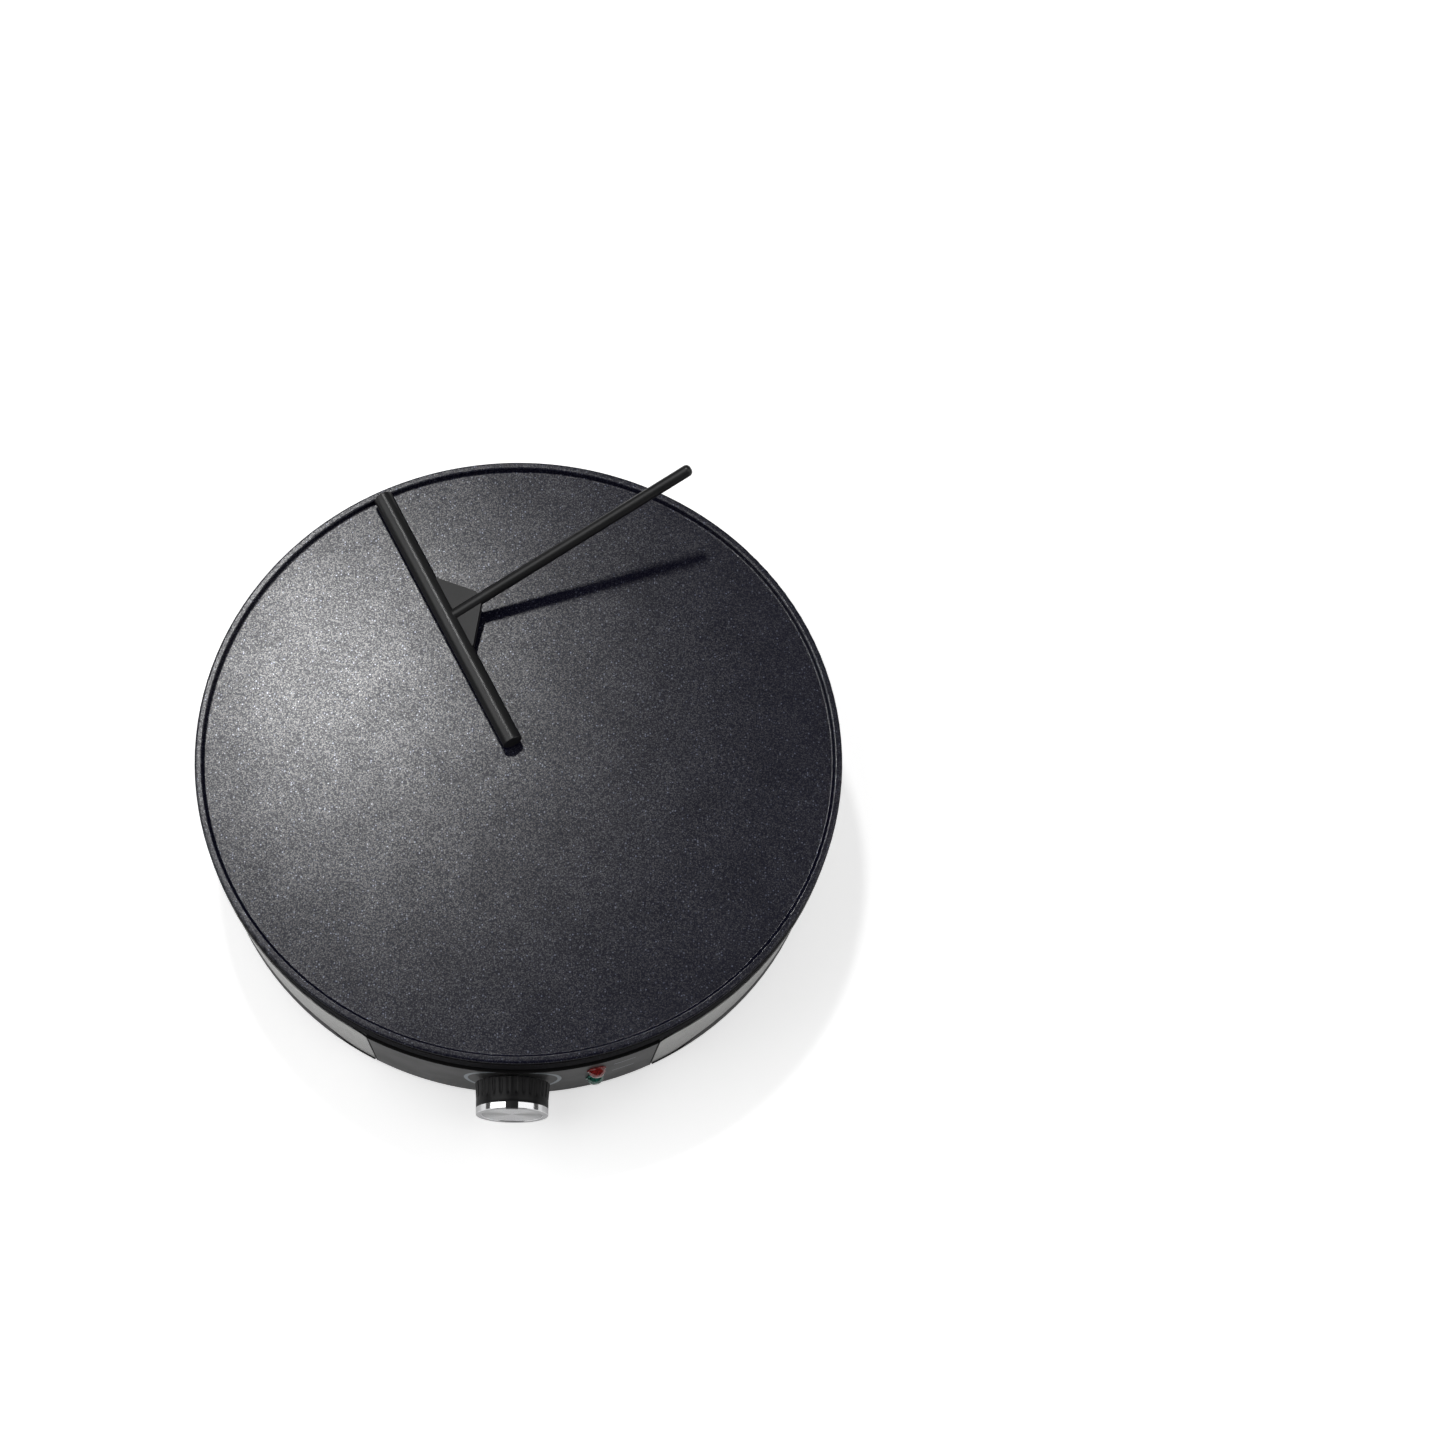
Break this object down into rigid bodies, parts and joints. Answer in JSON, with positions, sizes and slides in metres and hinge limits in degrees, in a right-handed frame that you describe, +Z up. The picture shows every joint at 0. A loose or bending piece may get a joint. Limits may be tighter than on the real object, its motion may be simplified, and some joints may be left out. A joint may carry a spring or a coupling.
{
  "type": "electric crepe maker",
  "caption": "Round countertop electric crepe maker: rimmed non-stick hot plate, steel-banded housing with thermostat knob and pilot lamps, and a T-shaped batter spreader.",
  "frame": {"origin": "centre of the cooking surface, on the axis of the round plate; the feet rest 83.8 mm below it", "axes": "+Z up, -Y towards the front with the control knob, +X to the right of someone facing the knob"},
  "size_m": [0.3699, 0.3894, 0.1486],
  "materials": {
    "cast_aluminium_coated": "cast, black speckled non-stick coating",
    "brushed_steel": "stainless strip, brushed along its length",
    "black_moulding": "heat-resistant moulding, fine texture",
    "grey_panel": "moulded, painted satin grey",
    "knob_black": "moulded, fine flutes",
    "knob_chrome": "plated plastic ring",
    "knob_metal": "spun on its face",
    "plated_steel": "zinc-plated steel",
    "thermostat_body": "pale phenolic and steatite body",
    "brass_tabs": "stamped blade terminals",
    "red_lens": "clear tinted moulding",
    "green_lens": "clear tinted moulding",
    "lamp_holder": "natural nylon",
    "lamp_glass": "neon bulb",
    "element_sheath": "oxidised steel sheath over the wire",
    "ceramic_white": "white ceramic",
    "copper_sensor": "copper bulb and capillary",
    "thermal_fuse": "small metal can",
    "aluminised_sheet": "aluminised steel sheet",
    "terminal_block": "white thermoset block",
    "black_rubber": "moulded rubber",
    "spreader_black": "satin black moulding",
    "lead_brown": "silicone insulation",
    "lead_white": "silicone insulation",
    "lead_blue": "silicone insulation",
    "lead_green": "silicone insulation, green and yellow"
  },
  "bodies": {
    "crepe_maker": {"block_screws": "plated_steel", "bottom_cover": "black_moulding", "bracket_screws": "plated_steel", "clamp_screws": "plated_steel", "clip_screws": "plated_steel", "cord_gland": "black_rubber", "cover_screws": "plated_steel", "earth_lead": "lead_green", "earth_screw": "plated_steel", "element_beads": "ceramic_white", "element_clamps": "plated_steel", "element_pins": "plated_steel", "foot_front_left": "black_rubber", "foot_front_right": "black_rubber", "foot_rear_left": "black_rubber", "foot_rear_right": "black_rubber", "front_panel": "grey_panel", "fuse_clip": "plated_steel", "fuse_lead": "lead_white", "green_lamp_bulb": "lamp_glass", "green_lamp_holder": "lamp_holder", "green_lens": "green_lens", "heat_shield": "aluminised_sheet", "heating_element": "element_sheath", "hot_plate": "cast_aluminium_coated", "housing_shell": "black_moulding", "live_lead": "lead_brown", "neutral_lead": "lead_blue", "panel_screws": "plated_steel", "plate_screws": "plated_steel", "plate_spacers": "plated_steel", "red_lamp_bulb": "lamp_glass", "red_lamp_holder": "lamp_holder", "red_lens": "red_lens", "sensor": "copper_sensor", "sensor_clip": "plated_steel", "steel_band": "brushed_steel", "switched_lead": "lead_brown", "terminal_block": "terminal_block", "thermal_fuse": "thermal_fuse", "thermostat": "thermostat_body", "thermostat_bracket": "plated_steel", "thermostat_tabs": "brass_tabs"},
    "knob": {"knob_grip": "knob_black", "knob_ring": "knob_chrome", "knob_disc": "knob_metal", "knob_clip": "plated_steel", "thermostat_spindle": "plated_steel"},
    "spreader": {"spreader_head": "spreader_black", "spreader_rod": "spreader_black"}
  },
  "joints": [
    {"name": "thermostat_knob", "type": "hinge", "parent": "crepe_maker", "child": "knob", "pos_m": [0, -0.18355, -0.03942], "axis": [0, 0.9994, 0.0349], "range_deg": [0, 270]},
    {"name": "spreader_lift", "type": "slide", "parent": "crepe_maker", "child": "spreader", "axis": [0, 0, 1], "range_m": [0, 0.12]}
  ]
}
